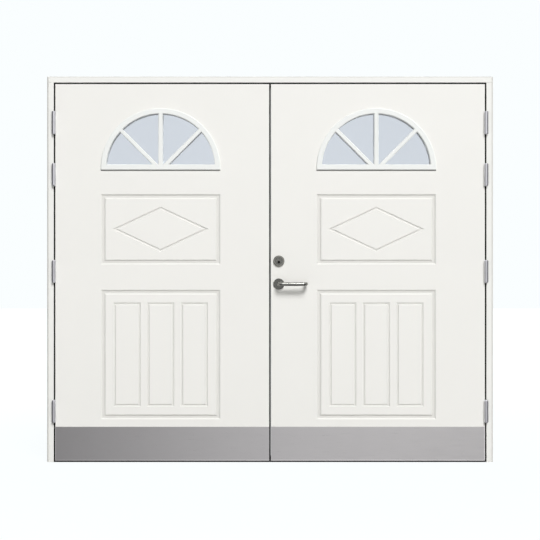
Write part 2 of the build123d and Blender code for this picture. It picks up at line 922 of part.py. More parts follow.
# The thumb-turn inside is a hub with an oval wing, and its tail reaches into the case
with BuildPart() as thumb_turn:
    hub_top = leaf_back + turn_rosette_height + turn_hub_step
    round_along_y(lock_x, cylinder_z, turn_hub_radius, (leaf_back, hub_top))
    with BuildSketch(facing(hub_top)):
        with Locations((lock_x, cylinder_z)):
            SlotOverall(turn_wing_length, turn_wing_width, rotation=90)
    thicken_to((hub_top, hub_top + turn_wing_height))
    fillet(thumb_turn.faces().sort_by(Axis.Y)[-1].edges(), turn_wing_round)
    round_along_y(lock_x, cylinder_z, tail_radius, (lock_y + tail_gap / 2, leaf_back))
save(thumb_turn, "thumb_turn")


# A lever handle bent from round bar: out from its rosette, along the leaf and back to it
def lever(name, face, out):
    foot = face + out * lever_foot_gap
    bar = face + out * lever_projection
    tip_x = lock_x + lever_reach - lever_radius
    with BuildPart() as handle:
        with BuildLine() as path:
            FilletPolyline(
                (lock_x, foot, handle_z),
                (lock_x, bar, handle_z),
                (tip_x, bar, handle_z),
                (tip_x, face + out * lever_end_gap, handle_z),
                radius=lever_bend,
            )
        with BuildSketch(Plane(path.line @ 0, z_dir=path.line % 0)):
            Circle(lever_radius)
        sweep()
        rims = handle.edges().filter_by(GeomType.CIRCLE).filter_by(lambda rim: rim.radius == lever_radius)
        tip_rim = rims.sort_by_distance((tip_x, face, handle_z))[0]
        fillet(tip_rim, lever_end_round)
        block(
            span(lock_x, spindle_side + 2 * spindle_fit),
            (foot, face + out * (spindle_reach + spindle_end_gap)),
            span(handle_z, spindle_side + 2 * spindle_fit),
            Mode.SUBTRACT,
        )
    save(handle, name)


lever("outer_lever", leaf_front, -1)
lever("inner_lever", leaf_back, 1)

with BuildPart() as spindle:
    block(
        span(lock_x, spindle_side),
        (leaf_front - spindle_reach, leaf_back + spindle_reach),
        span(handle_z, spindle_side),
    )
save(spindle, "spindle")


# Tower bolts: a plate with two guides, and a round bolt with a knob between them. The bolt's
# tip points up or down, given as 1 or -1.
def tower_bolt(name, tip_z, up):
    guide_z = [tip_z - up * (tower_end_margin + lug_height / 2)]
    guide_z.append(guide_z[0] - up * (tower_plate_height - lug_height))
    plate_z = sum(guide_z) / 2
    with BuildPart() as bracket:
        block(
            span(tower_x, tower_plate_width),
            (leaf_back, leaf_back + tower_plate),
            span(plate_z, tower_plate_height),
        )
        for z in guide_z:
            block(
                span(tower_x, lug_width),
                (leaf_back + tower_plate, tower_y + tower_bolt_radius + lug_wall),
                span(z, lug_height),
            )
            with Locations((tower_x, tower_y, z)):
                Cylinder(tower_bolt_radius + tower_bolt_fit, lug_height, mode=Mode.SUBTRACT)
    save(bracket, f"{name}_bracket")
    with BuildPart() as bolt:
        with Locations((tower_x, tower_y, tip_z - up * tower_bolt_length / 2)):
            Cylinder(tower_bolt_radius, tower_bolt_length)
        chamfer(bolt.edges().filter_by(GeomType.CIRCLE).sort_by(Axis.Z), tower_bolt_chamfer)
        knob_y = tower_y + tower_bolt_radius + knob_reach
        round_along_y(tower_x, plate_z, knob_radius, (tower_y, knob_y))
        round_along_y(tower_x, plate_z, knob_head_radius, (knob_y - knob_head_height, knob_y))
    save(bolt, name)


tower_bolt("top_bolt", top_bolt_tip_z, 1)
tower_bolt("bottom_bolt", bottom_bolt_tip_z, -1)
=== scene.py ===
import math

import bmesh
import bpy
from mathutils import Matrix, Vector


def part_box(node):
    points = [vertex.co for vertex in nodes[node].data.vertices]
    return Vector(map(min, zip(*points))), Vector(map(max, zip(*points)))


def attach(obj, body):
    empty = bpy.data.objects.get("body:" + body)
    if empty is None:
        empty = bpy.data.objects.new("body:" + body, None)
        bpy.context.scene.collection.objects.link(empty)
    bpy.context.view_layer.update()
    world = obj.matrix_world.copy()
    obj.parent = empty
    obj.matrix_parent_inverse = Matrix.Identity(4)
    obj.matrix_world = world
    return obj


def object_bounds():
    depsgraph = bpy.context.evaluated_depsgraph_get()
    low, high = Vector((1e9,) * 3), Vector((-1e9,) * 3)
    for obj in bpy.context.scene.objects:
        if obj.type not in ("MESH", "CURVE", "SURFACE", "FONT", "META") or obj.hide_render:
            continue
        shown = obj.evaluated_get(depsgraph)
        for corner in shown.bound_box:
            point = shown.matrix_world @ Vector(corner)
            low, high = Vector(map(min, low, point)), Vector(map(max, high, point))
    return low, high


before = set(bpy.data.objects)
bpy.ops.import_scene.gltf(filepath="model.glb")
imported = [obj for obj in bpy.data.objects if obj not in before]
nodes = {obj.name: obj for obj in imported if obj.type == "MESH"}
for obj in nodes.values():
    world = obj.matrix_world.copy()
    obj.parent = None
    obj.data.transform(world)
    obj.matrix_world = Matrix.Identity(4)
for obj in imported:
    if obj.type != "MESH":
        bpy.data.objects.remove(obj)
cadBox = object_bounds()
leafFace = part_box("left_outer_skin")[0][1]        # the plane of both leaves' fronts
print("door loaded:", len(nodes), "nodes")


# helpers

def hexColour(text):
    channels = [int(text[i:i + 2], 16) / 255 for i in (1, 3, 5)]
    linear = [c / 12.92 if c <= 0.04045 else ((c + 0.055) / 1.055) ** 2.4 for c in channels]
    return (*linear, 1)


def addNode(tree, kind, inputs=None, **settings):
    node = tree.nodes.new(kind)
    for name, value in settings.items():
        setattr(node, name, value)
    for socket, value in (inputs or {}).items():
        if isinstance(value, bpy.types.NodeSocket):
            tree.links.new(value, node.inputs[socket])
        else:
            node.inputs[socket].default_value = value
    return node


def newMaterial(name, **shader):
    material = bpy.data.materials.new(name)
    material.use_nodes = True
    tree = material.node_tree
    principled = tree.nodes["Principled BSDF"]
    for socket, value in shader.items():
        principled.inputs[socket.replace("_", " ")].default_value = value
    return material, tree, principled


def millimetres(size):
    return 1000 / size        # noise scale whose features are about this long


def deselectAll():
    if bpy.context.object and bpy.context.object.mode != "OBJECT":
        bpy.ops.object.mode_set(mode="OBJECT")
    bpy.ops.object.select_all(action="DESELECT")


# camera: straight on, far back, so that the frame's sides stay parallel

view = {"distance": 7.5, "x": -0.0003, "z": 1.0289, "width": 2.893, "sensor": 36, "clipEnd": 100}

camera = bpy.data.objects.new("camera", bpy.data.cameras.new("camera"))
camera.location = (view["x"], leafFace - view["distance"], view["z"])
camera.rotation_euler = (math.radians(90), 0, 0)
camera.data.sensor_width = view["sensor"]
camera.data.lens = view["sensor"] * view["distance"] / view["width"]
camera.data.clip_end = view["clipEnd"]
bpy.context.scene.collection.objects.link(camera)
bpy.context.scene.camera = camera
bpy.context.scene.view_settings.view_transform = "Standard"
print("camera placed")


# studio: a large lamp above and to the right, a fill from all round, a pale floor

studio = {
    "lampPlace": (10.5, -36.0, 34.0),
    "lampAim": (0, 0, 1.05),
    "lampSize": 20.0,
    "lampPower": 21800,
    "frontFill": 0.13,        # low, so that the lamp models the front
    "backFill": 1.0,        # the lamp doesn't reach the back
    "fillTurn": (0.05, 0.35),        # Y of a direction, between the front's fill and the back's
    "fillColour": "#ffffff",
    "mirroredColour": "#fdfdff",
    "backdrop": "#fafeff",
}

# what metal mirrors: bright straight ahead, and another level past each stretch of an axis
mirrored = {
    "ahead": {"level": 0.98},
    "beside": {"axis": "X", "stretch": (0.02, 0.2), "level": 0.32},
    "above": {"axis": "Z", "stretch": (0.22, 0.55), "level": 1.0},
    "below": {"axis": "Z", "stretch": (-0.42, -0.66), "level": 0.04},
    "behind": {"axis": "Y", "stretch": (-0.15, 0.15), "level": 1.0},
}

world = bpy.data.worlds.new("studio")
bpy.context.scene.world = world
world.use_nodes = True
tree = world.node_tree
tree.nodes.clear()
direction = addNode(tree, "ShaderNodeTexCoord")
parts = addNode(tree, "ShaderNodeSeparateXYZ", {0: direction.outputs["Generated"]})
sideways = addNode(tree, "ShaderNodeMath", {0: parts.outputs["X"]}, operation="ABSOLUTE")
axes = {"X": sideways.outputs[0], "Y": parts.outputs["Y"], "Z": parts.outputs["Z"]}
level = mirrored["ahead"]["level"]
for side in ("beside", "above", "below", "behind"):
    zone = mirrored[side]
    share = addNode(tree, "ShaderNodeMapRange", {"Value": axes[zone["axis"]], "From Min": zone["stretch"][0],
                                                 "From Max": zone["stretch"][1]})
    mixed = addNode(tree, "ShaderNodeMix", {"Factor": share.outputs[0], "A": level, "B": zone["level"]})
    level = mixed.outputs[0]
fill = addNode(tree, "ShaderNodeMapRange", {"Value": axes["Y"], "From Min": studio["fillTurn"][0],
                                            "From Max": studio["fillTurn"][1],
                                            "To Min": studio["frontFill"], "To Max": studio["backFill"]})
even = addNode(tree, "ShaderNodeBackground", {"Color": hexColour(studio["fillColour"]),
                                              "Strength": fill.outputs[0]})
inMetal = addNode(tree, "ShaderNodeBackground", {"Color": hexColour(studio["mirroredColour"]),
                                                 "Strength": level})
backdrop = addNode(tree, "ShaderNodeBackground", {"Color": hexColour(studio["backdrop"]), "Strength": 1})
rays = addNode(tree, "ShaderNodeLightPath")
direct = addNode(tree, "ShaderNodeMath", {0: rays.outputs["Is Camera Ray"],
                                          1: rays.outputs["Is Transmission Ray"]}, operation="MAXIMUM")
lighting = addNode(tree, "ShaderNodeMixShader", {0: rays.outputs["Is Glossy Ray"], 1: even.outputs[0],
                                                 2: inMetal.outputs[0]})
shown = addNode(tree, "ShaderNodeMixShader", {0: direct.outputs[0], 1: lighting.outputs[0],
                                              2: backdrop.outputs[0]})
addNode(tree, "ShaderNodeOutputWorld", {"Surface": shown.outputs[0]})

lamp = bpy.data.objects.new("softbox", bpy.data.lights.new("softbox", "AREA"))
lamp.data.shape = "DISK"
lamp.data.size = studio["lampSize"]
lamp.data.energy = studio["lampPower"]
lamp.location = studio["lampPlace"]
lamp.rotation_euler = (Vector(studio["lampAim"]) - lamp.location).to_track_quat("-Z", "Y").to_euler()
bpy.context.scene.collection.objects.link(lamp)

# the floor takes the door's shadow and glows towards the backdrop's colour, so no horizon shows
pale = {
    "size": 60,
    "colour": "#c4c4c2",
    "roughness": 0.9,
    "glow": 1.06,
    "glowShare": (0.9, 0.99),        # at the door and far away
    "fade": (1.4, 4.0),        # metres from the door between the two
    "darkHalf": (1.17, 0.055),        # half the strip under the leaves, which stays dark
    "darkShare": 0.05,
    "darkEdge": 0.01,
}

deselectAll()
bpy.ops.mesh.primitive_plane_add(size=pale["size"], location=(0, 0, 0))
floor = bpy.context.object
floor.name = "floor"
floor.visible_glossy = False
floorMaterial, tree, principled = newMaterial("paleStudioFloor", Roughness=pale["roughness"])
principled.inputs["Base Color"].default_value = hexColour(pale["colour"])
rays = addNode(tree, "ShaderNodeLightPath")
direct = addNode(tree, "ShaderNodeMath", {0: rays.outputs["Is Camera Ray"],
                                          1: rays.outputs["Is Transmission Ray"]}, operation="MAXIMUM")
place = addNode(tree, "ShaderNodeTexCoord").outputs["Object"]
away = addNode(tree, "ShaderNodeVectorMath", {0: place}, operation="LENGTH")
far = addNode(tree, "ShaderNodeMapRange", {"Value": away.outputs["Value"], "From Min": pale["fade"][0],
                                           "From Max": pale["fade"][1], "To Min": pale["glowShare"][0],
                                           "To Max": pale["glowShare"][1]})
strip = [1 / half for half in pale["darkHalf"]]
shrunk = addNode(tree, "ShaderNodeVectorMath", {0: place, 1: (*strip, 0)}, operation="MULTIPLY")
flat = addNode(tree, "ShaderNodeVectorMath", {0: shrunk.outputs[0]}, operation="ABSOLUTE")
sides = addNode(tree, "ShaderNodeSeparateXYZ", {0: flat.outputs[0]})
edge = addNode(tree, "ShaderNodeMath", {0: sides.outputs["X"], 1: sides.outputs["Y"]}, operation="MAXIMUM")
near = addNode(tree, "ShaderNodeMapRange", {"Value": edge.outputs[0], "From Min": 1 - pale["darkEdge"],
                                            "From Max": 1 + pale["darkEdge"], "To Min": pale["darkShare"],
                                            "To Max": 1.0})
fade = addNode(tree, "ShaderNodeMath", {0: far.outputs[0], 1: near.outputs[0]}, operation="MULTIPLY")
share = addNode(tree, "ShaderNodeMath", {0: direct.outputs[0], 1: fade.outputs[0]}, operation="MULTIPLY")
glow = addNode(tree, "ShaderNodeEmission", {"Color": hexColour(studio["backdrop"]), "Strength": pale["glow"]})
lit = addNode(tree, "ShaderNodeMixShader", {0: share.outputs[0], 1: principled.outputs[0],
                                            2: glow.outputs[0]})
tree.links.new(lit.outputs[0], tree.nodes["Material Output"].inputs["Surface"])
floor.data.materials.append(floorMaterial)
print("studio lit")


# materials

# painted shade darkens the bottom of the routed lines, from one depth below the leaf's face to another
paintedGrooveShade = {"starts": 0.0019, "full": 0.0037, "share": 0.17, "colour": "#8f8b82"}

# painted shade: the frame's outer rim, its outer sides and the head's top are greyed
paintedRimShade = {"sideWidth": 0.0095, "headWidth": 0.007, "blur": 0.001, "share": 0.28, "colour": "#8f8b82"}


def paint(name, colour, roughness, grain=None, routed=False, peel=9, peelDepth=0.00005):
    # sprayed or moulded white: an even satin skin with a slight orange peel, drawn three times as
    # coarse as the real 3 mm, and on solid timber the grain shows through as faint long ridges
    material, tree, principled = newMaterial(name, Roughness=roughness, IOR=1.5)
    place = addNode(tree, "ShaderNodeTexCoord").outputs["Object"]
    tone = addNode(tree, "ShaderNodeTexNoise", {"Vector": place, "Scale": millimetres(700), "Detail": 3})
    shade = addNode(tree, "ShaderNodeMix", {"Factor": tone.outputs["Fac"], "A": hexColour(colour[0]),
                                            "B": hexColour(colour[1])}, data_type="RGBA")
    spot = addNode(tree, "ShaderNodeSeparateXYZ", {"Vector": place})
    # painted shade: the bottoms of the routed lines, or else the frame's outer rim and sides, are mixed
    # towards a darker grey
    if routed:
        paintedShade = paintedGrooveShade
        measured = spot.outputs["Y"]
        starts, full = leafFace + paintedGrooveShade["starts"], leafFace + paintedGrooveShade["full"]
    else:
        # from the head's top the rim is measured as if it were as far out as the frame's sides
        paintedShade = paintedRimShade
        farX, farZ = cadBox[1][0], cadBox[1][2]
        headShift = farZ - paintedRimShade["headWidth"] - (farX - paintedRimShade["sideWidth"])
        upward = addNode(tree, "ShaderNodeMath", {0: spot.outputs["Z"], 1: headShift}, operation="SUBTRACT")
        outward = addNode(tree, "ShaderNodeMath", {0: spot.outputs["X"]}, operation="ABSOLUTE")
        measured = addNode(tree, "ShaderNodeMath", {0: upward.outputs[0], 1: outward.outputs[0]},
                           operation="MAXIMUM").outputs[0]
        starts = farX - paintedRimShade["sideWidth"]
        full = starts + paintedRimShade["blur"]
    part = addNode(tree, "ShaderNodeMapRange", {"Value": measured, "From Min": starts, "From Max": full,
                                                "To Max": paintedShade["share"]})
    paintedShadeColour = addNode(tree, "ShaderNodeMix", {"Factor": part.outputs[0], "A": shade.outputs["Result"],
                                             "B": hexColour(paintedShade["colour"])}, data_type="RGBA")
    tree.links.new(paintedShadeColour.outputs["Result"], principled.inputs["Base Color"])
    dimples = addNode(tree, "ShaderNodeTexNoise", {"Vector": place, "Scale": millimetres(peel), "Detail": 2})
    bump = addNode(tree, "ShaderNodeBump", {"Height": dimples.outputs["Fac"], "Strength": 0.35,
                                            "Distance": peelDepth})
    if grain:
        along = [0.02 if axis == grain else 1 for axis in "XYZ"]
        stretched = addNode(tree, "ShaderNodeMapping", {"Vector": place, "Scale": along})
        ridges = addNode(tree, "ShaderNodeTexNoise", {"Vector": stretched.outputs[0],
                                                      "Scale": millimetres(5), "Detail": 4})
        bump = addNode(tree, "ShaderNodeBump", {"Height": ridges.outputs["Fac"], "Strength": 0.4,
                                                "Distance": 0.00004, "Normal": bump.outputs[0]})
    if routed:
        # the walls of the lines take the light as if they were steeper, as the photo shows them
        rise = addNode(tree, "ShaderNodeMath", {0: spot.outputs["Y"], 1: -1.0}, operation="MULTIPLY")
        bump = addNode(tree, "ShaderNodeBump", {"Height": rise.outputs[0], "Strength": 1.0, "Distance": 0.38,
                                                "Normal": bump.outputs[0]})
    tree.links.new(bump.outputs[0], principled.inputs["Normal"])
    satin = addNode(tree, "ShaderNodeMapRange", {"Value": tone.outputs["Fac"], "To Min": roughness - 0.04,
                                                 "To Max": roughness + 0.05})
    tree.links.new(satin.outputs[0], principled.inputs["Roughness"])
    return material


def metal(name, colour, roughness, brushed=None, grit=0.8, streak=60, paintedLight=None):
    # worked metal: streaks of the tool change the gloss a little and lift the surface by hundredths
    # of a millimetre; real grinding marks are 0.05 mm apart and are drawn coarser to show at all
    material, tree, principled = newMaterial(name, Metallic=1.0)
    place = addNode(tree, "ShaderNodeTexCoord").outputs["Object"]
    stretch = [grit / streak if axis == brushed else 1 for axis in "XYZ"]
    along = addNode(tree, "ShaderNodeMapping", {"Vector": place, "Scale": stretch})
    streaks = addNode(tree, "ShaderNodeTexNoise", {"Vector": along.outputs[0], "Scale": millimetres(grit),
                                                   "Detail": 5, "Roughness": 0.6})
    cloud = addNode(tree, "ShaderNodeTexNoise", {"Vector": place, "Scale": millimetres(90), "Detail": 3})
    both = addNode(tree, "ShaderNodeMix", {"Factor": 0.4, "A": streaks.outputs["Fac"],
                                           "B": cloud.outputs["Fac"]})
    shade = addNode(tree, "ShaderNodeMix", {"Factor": both.outputs["Result"], "A": hexColour(colour[0]),
                                            "B": hexColour(colour[1])}, data_type="RGBA")
    if paintedLight:
        # painted light: beyond one distance from the door's middle line, or below one height, it has another
        # tone, a painted highlight or painted shade
        spot = addNode(tree, "ShaderNodeSeparateXYZ", {"Vector": place})
        measured = addNode(tree, "ShaderNodeMath", {0: spot.outputs["X"]}, operation="ABSOLUTE")
        if "below" in paintedLight:
            downward = addNode(tree, "ShaderNodeMath", {0: paintedLight["beyond"] + paintedLight["below"],
                                                        1: spot.outputs["Z"]}, operation="SUBTRACT")
            measured = addNode(tree, "ShaderNodeMath", {0: measured.outputs[0], 1: downward.outputs[0]},
                               operation="MAXIMUM")
        paintedLightShare = addNode(tree, "ShaderNodeMapRange", {"Value": measured.outputs[0],
                                                    "From Min": paintedLight["beyond"],
                                                    "From Max": paintedLight["beyond"] + paintedLight["blur"]})
        shade = addNode(tree, "ShaderNodeMix", {"Factor": paintedLightShare.outputs[0], "A": shade.outputs["Result"],
                                                "B": hexColour(paintedLight["tone"])}, data_type="RGBA")
    tree.links.new(shade.outputs["Result"], principled.inputs["Base Color"])
    gloss = addNode(tree, "ShaderNodeMapRange", {"Value": streaks.outputs["Fac"], "To Min": roughness - 0.07,
                                                 "To Max": roughness + 0.07})
    tree.links.new(gloss.outputs[0], principled.inputs["Roughness"])
    bump = addNode(tree, "ShaderNodeBump", {"Height": streaks.outputs["Fac"], "Strength": 0.5,
                                            "Distance": 0.00001})
    tree.links.new(bump.outputs[0], principled.inputs["Normal"])
    if brushed:
        # the grain blurs reflections across itself far more than along
        across = {"X": (0, 0, 1), "Z": (1, 0, 0)}[brushed]
        turned = addNode(tree, "ShaderNodeVectorTransform", {"Vector": across}, vector_type="VECTOR",
                         convert_from="OBJECT", convert_to="WORLD")
        tree.links.new(turned.outputs[0], principled.inputs["Tangent"])
        principled.inputs["Anisotropic"].default_value = 0.85
    return material


def rubber(name, colour):
    # extruded EPDM: dull black with a fine skin
    material, tree, principled = newMaterial(name, Roughness=0.75, IOR=1.52, Specular_IOR_Level=0.15)
    place = addNode(tree, "ShaderNodeTexCoord").outputs["Object"]
    skin = addNode(tree, "ShaderNodeTexNoise", {"Vector": place, "Scale": millimetres(3), "Detail": 4})
    shade = addNode(tree, "ShaderNodeMix", {"Factor": skin.outputs["Fac"], "A": hexColour(colour[0]),
                                            "B": hexColour(colour[1])}, data_type="RGBA")
    tree.links.new(shade.outputs["Result"], principled.inputs["Base Color"])
    bump = addNode(tree, "ShaderNodeBump", {"Height": skin.outputs["Fac"], "Strength": 0.3,
                                            "Distance": 0.0001})
    tree.links.new(bump.outputs[0], principled.inputs["Normal"])
    return material


def glass(name, colour):
    # float glass of a sealed unit: clear, with a cold tint in its depth and faint roller waves
    material, tree, principled = newMaterial(name, Roughness=0.01, IOR=1.52, Transmission_Weight=1.0)
    principled.inputs["Base Color"].default_value = hexColour(colour)
    place = addNode(tree, "ShaderNodeTexCoord").outputs["Object"]
    waves = addNode(tree, "ShaderNodeTexNoise", {"Vector": place, "Scale": millimetres(160), "Detail": 1})
    bump = addNode(tree, "ShaderNodeBump", {"Height": waves.outputs["Fac"], "Strength": 0.2,
                                            "Distance": 0.0002})
    tree.links.new(bump.outputs[0], principled.inputs["Normal"])
    return material


def spruce(name):
    # planed spruce: pale yellow early wood with darker late wood lines along the board
    material, tree, principled = newMaterial(name, Roughness=0.6, IOR=1.5)
    place = addNode(tree, "ShaderNodeTexCoord").outputs["Object"]
    along = addNode(tree, "ShaderNodeMapping", {"Vector": place, "Scale": (0.05, 1, 1)})
    rings = addNode(tree, "ShaderNodeTexWave", {"Vector": along.outputs[0], "Scale": millimetres(26),
                                                "Distortion": 5, "Detail": 3})
    shade = addNode(tree, "ShaderNodeMix", {"Factor": rings.outputs["Fac"], "A": hexColour("#e3c99a"),
                                            "B": hexColour("#c79f66")}, data_type="RGBA")
    tree.links.new(shade.outputs["Result"], principled.inputs["Base Color"])
    return material


def mineralWool(name):
    # pressed mineral wool: mustard yellow fibres
    material, tree, principled = newMaterial(name, Roughness=0.95)
    place = addNode(tree, "ShaderNodeTexCoord").outputs["Object"]
    along = addNode(tree, "ShaderNodeMapping", {"Vector": place, "Scale": (1, 1, 0.2)})
    fibres = addNode(tree, "ShaderNodeTexNoise", {"Vector": along.outputs[0], "Scale": millimetres(4),
                                                  "Detail": 8})
    shade = addNode(tree, "ShaderNodeMix", {"Factor": fibres.outputs["Fac"], "A": hexColour("#cfc38a"),
                                            "B": hexColour("#e6dcb2")}, data_type="RGBA")
    tree.links.new(shade.outputs["Result"], principled.inputs["Base Color"])
    bump = addNode(tree, "ShaderNodeBump", {"Height": fibres.outputs["Fac"], "Distance": 0.001})
    tree.links.new(bump.outputs[0], principled.inputs["Normal"])
    return material


# the kick plate's hem gets a painted highlight along its outer and lower edge, and the knuckles get
# painted shade on the side away from the leaf
hem = 0.0045
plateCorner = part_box("left_kick_plate")[0]
paintedHemHighlight = {"beyond": -plateCorner[0] - hem, "below": plateCorner[2] + hem,
             "blur": 0.0008, "tone": "#d0cece"}
paintedKnuckleShade = {"beyond": 1.1605, "blur": 0.0008, "tone": "#75747a"}

finishes = {material.name: material for material in (
    # alkyd enamel sprayed on planed pine: satin white, grain just readable, painted shade on the frame's
    # outer rim
    paint("uprightAlkydEnamel", ("#f2f2ee", "#f4f4f0"), 0.42, grain="Z"),
    paint("levelAlkydEnamel", ("#f2f2ee", "#f4f4f0"), 0.42, grain="X"),
    # acid-curing lacquer sprayed on routed MDF: smooth, warm white, soft edges in the lines, painted shade at
    # their bottoms
    paint("sprayedLeafLacquer", ("#f2f1ed", "#f4f3ef"), 0.4, routed=True),
    # the same lacquer on the inner skin's plain MDF, which has no routed lines to take painted shade
    paint("sprayedSkinLacquer", ("#f2f1ed", "#f4f3ef"), 0.4),
    # the same white rolled on the leaf's timber edges: a little duller
    paint("rolledEdgeEnamel", ("#efeeea", "#f2f1ed"), 0.45),
    # injection moulded ASA plastic: cooler white, tighter gloss
    paint("mouldedAsaPlastic", ("#f1f3f1", "#f3f5f3"), 0.32, peel=6, peelDepth=0.00003),
    # float glass: flat and clear, the pair of panes gives a pale blue depth
    glass("floatGlass", "#e9ebef"),
    # stainless sheet, ground with a belt along its length: long streaks, soft upright reflections, a painted
    # highlight along its hem
    metal("groundKickSteel", ("#a9a7a7", "#b2b0b0"), 0.3, brushed="X", grit=1.5, streak=120,
          paintedLight=paintedHemHighlight),
    # turned and galvanised steel knuckles: pale and dull, with painted shade on the side away from the leaf
    metal("galvanisedHingeSteel", ("#d4d4d8", "#e0e0e4"), 0.45, paintedLight=paintedKnuckleShade),
    # bent stainless tube, polished to a satin: sharp highlight above, dark below
    metal("satinLeverSteel", ("#8e8e8a", "#9c9c97"), 0.17),
    # stamped stainless cups: darker, with a narrow bright rim
    metal("stampedRosetteSteel", ("#686865", "#767672"), 0.22),
    # turned zinc ring, nickel plated: a smooth cone, brighter round its rim
    metal("turnedRingZinc", ("#7f7f7a", "#8b8b86"), 0.15),
    # machined brass under nickel: mid grey, softer gloss
    metal("machinedCylinderBrass", ("#7c7c77", "#8a8a85"), 0.26),
    # blackened brass plug: almost black and dull
    metal("blackenedPlugBrass", ("#262624", "#30302d"), 0.4),
    # pressed steel, zinc plated: cool grey, slightly cloudy
    metal("zincPlatedSteel", ("#b2b6b8", "#c6c9ca"), 0.36),
    # stainless strip, brushed along its length: upright streaks
    metal("brushedForendSteel", ("#a8a8a8", "#b6b6b6"), 0.32, brushed="Z"),
    # roll formed mill finish aluminium: even light grey
    metal("rolledSpacerAluminium", ("#b4b6b8", "#bfc1c3"), 0.4),
    # extruded aluminium, anodised black: dull, with faint die lines along it
    metal("anodisedThresholdAluminium", ("#1d1d1f", "#262628"), 0.42, brushed="X"),
    # extruded EPDM rubber: dull black, swallows the light in the gaps
    rubber("extrudedSealRubber", ("#0b0b0a", "#121211")),
    # hidden inside the leaves
    spruce("planedSpruce"),
    mineralWool("pressedMineralWool"),
)}

# a node takes the finish whose word in its name is the longest
wordsOf = {
    "uprightAlkydEnamel": ("frame_jamb", "frame_stops"),
    "levelAlkydEnamel": ("frame_head",),
    "sprayedLeafLacquer": ("outer_skin",),
    "sprayedSkinLacquer": ("inner_skin",),
    "rolledEdgeEnamel": ("hinge_stile", "meeting_stile", "top_rail", "bottom_rail"),
    "mouldedAsaPlastic": ("fan_frame",),
    "floatGlass": ("glass_panes",),
    "groundKickSteel": ("kick_plate",),
    "galvanisedHingeSteel": ("hinge_frame", "hinge_leaf"),
    "satinLeverSteel": ("lever", "thumb_turn"),
    "stampedRosetteSteel": ("rosette",),
    "turnedRingZinc": ("cylinder_ring",),
    "machinedCylinderBrass": ("lock_cylinder",),
    "blackenedPlugBrass": ("key_plug",),
    "zincPlatedSteel": ("top_bolt", "bottom_bolt", "top_bolt_keep", "bolt_bracket", "spindle"),
    "brushedForendSteel": ("lock_case", "strike_plate", "latch_bolt", "deadbolt"),
    "rolledSpacerAluminium": ("glass_spacer",),
    "anodisedThresholdAluminium": ("threshold",),
    "extrudedSealRubber": ("leaf_seal", "frame_gasket"),
    "planedSpruce": ("middle_rail", "window_lining"),
    "pressedMineralWool": ("core",),
}
finishOf = {word: finish for finish, words in wordsOf.items() for word in words}

for name, node in nodes.items():
    match = max((word for word in finishOf if word in name), key=len)
    node.data.materials.clear()
    node.data.materials.append(finishes[finishOf[match]])
for leaf in ("left", "right"):
    nodes[leaf + "_glass_panes"].visible_shadow = False       # the lamp shines through the panes
print("finishes given to", len(nodes), "nodes")


# small fastenings: one of each kind is shaped here, then copied to its places

smoothAngle = math.radians(35)
headTurn = 2.4        # radians from one head's socket to the next, so that no two stand alike


def deselectMesh(mesh):
    for part in (*mesh.verts, *mesh.edges, *mesh.faces):
        part.select = False


def roundHead(name, head):
    # a short cylinder whose rim is inset and raised in steps, with a cross or a six-sided socket
    deselectAll()
    bpy.ops.mesh.primitive_cylinder_add(vertices=head["sides"], radius=head["radius"], depth=head["height"],
                                        location=(0, 0, head["height"] / 2))
    piece = bpy.context.object
    piece.name = name
    bpy.ops.object.transform_apply(location=True, rotation=True, scale=True)
    bpy.ops.object.mode_set(mode="EDIT")
    bpy.context.tool_settings.mesh_select_mode = (False, False, True)
    mesh = bmesh.from_edit_mesh(piece.data)
    deselectMesh(mesh)
    for side in mesh.faces:
        if side.normal.z > 0.9:
            side.select_set(True)
    bmesh.update_edit_mesh(piece.data)
    bpy.ops.mesh.inset(thickness=head["rim"], depth=head["crown"])
    bpy.ops.mesh.inset(thickness=head["rim"], depth=head["crown"] / 3)
    bpy.ops.object.mode_set(mode="OBJECT")
    top = head["height"] + head["crown"]
    turns = {"cross": (0, 90), "hex": (0,)}[head["socket"]]
    for turn in turns:
        deselectAll()
        if head["socket"] == "cross":
            bpy.ops.mesh.primitive_cube_add(size=1, location=(0, 0, top))
            bpy.context.object.scale = (head["slotLength"], head["slotWidth"], 2 * head["slotDepth"])
            bpy.context.object.rotation_euler.z = math.radians(turn)
        else:
            bpy.ops.mesh.primitive_cylinder_add(vertices=6, radius=head["slotLength"] / 2,
                                                depth=2 * head["slotDepth"], location=(0, 0, top))
        cutter = bpy.context.object
        bpy.ops.object.transform_apply(location=True, rotation=True, scale=True)
        deselectAll()
        piece.select_set(True)
        bpy.context.view_layer.objects.active = piece
        cut = piece.modifiers.new("socket", "BOOLEAN")
        cut.operation, cut.object, cut.solver = "DIFFERENCE", cutter, "EXACT"
        bpy.ops.object.modifier_apply(modifier=cut.name)
        bpy.data.objects.remove(cutter)
    return piece


def setOut(master, name, body, finish, places):
    # copies the master to each (place, direction that its head faces), as one piece
    copies = []
    for number, (place, facing) in enumerate(places):
        deselectAll()
        master.select_set(True)
        bpy.context.view_layer.objects.active = master
        bpy.ops.object.duplicate()
        copy = bpy.context.object
        copy.location = place
        turn = Vector(facing).to_track_quat("Z", "Y").to_matrix() @ Matrix.Rotation(headTurn * number, 3, "Z")
        copy.rotation_euler = turn.to_euler()
        copies.append(copy)
    deselectAll()
    for copy in copies:
        copy.select_set(True)
    bpy.context.view_layer.objects.active = copies[0]
    if len(copies) > 1:
        bpy.ops.object.join()
    bpy.ops.object.transform_apply(location=True, rotation=True, scale=True)
    bpy.ops.object.shade_smooth_by_angle(angle=smoothAngle)
    piece = bpy.context.object
    piece.name = piece.data.name = name
    piece.data.materials.clear()
    piece.data.materials.append(finishes[finish])
    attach(piece, body)


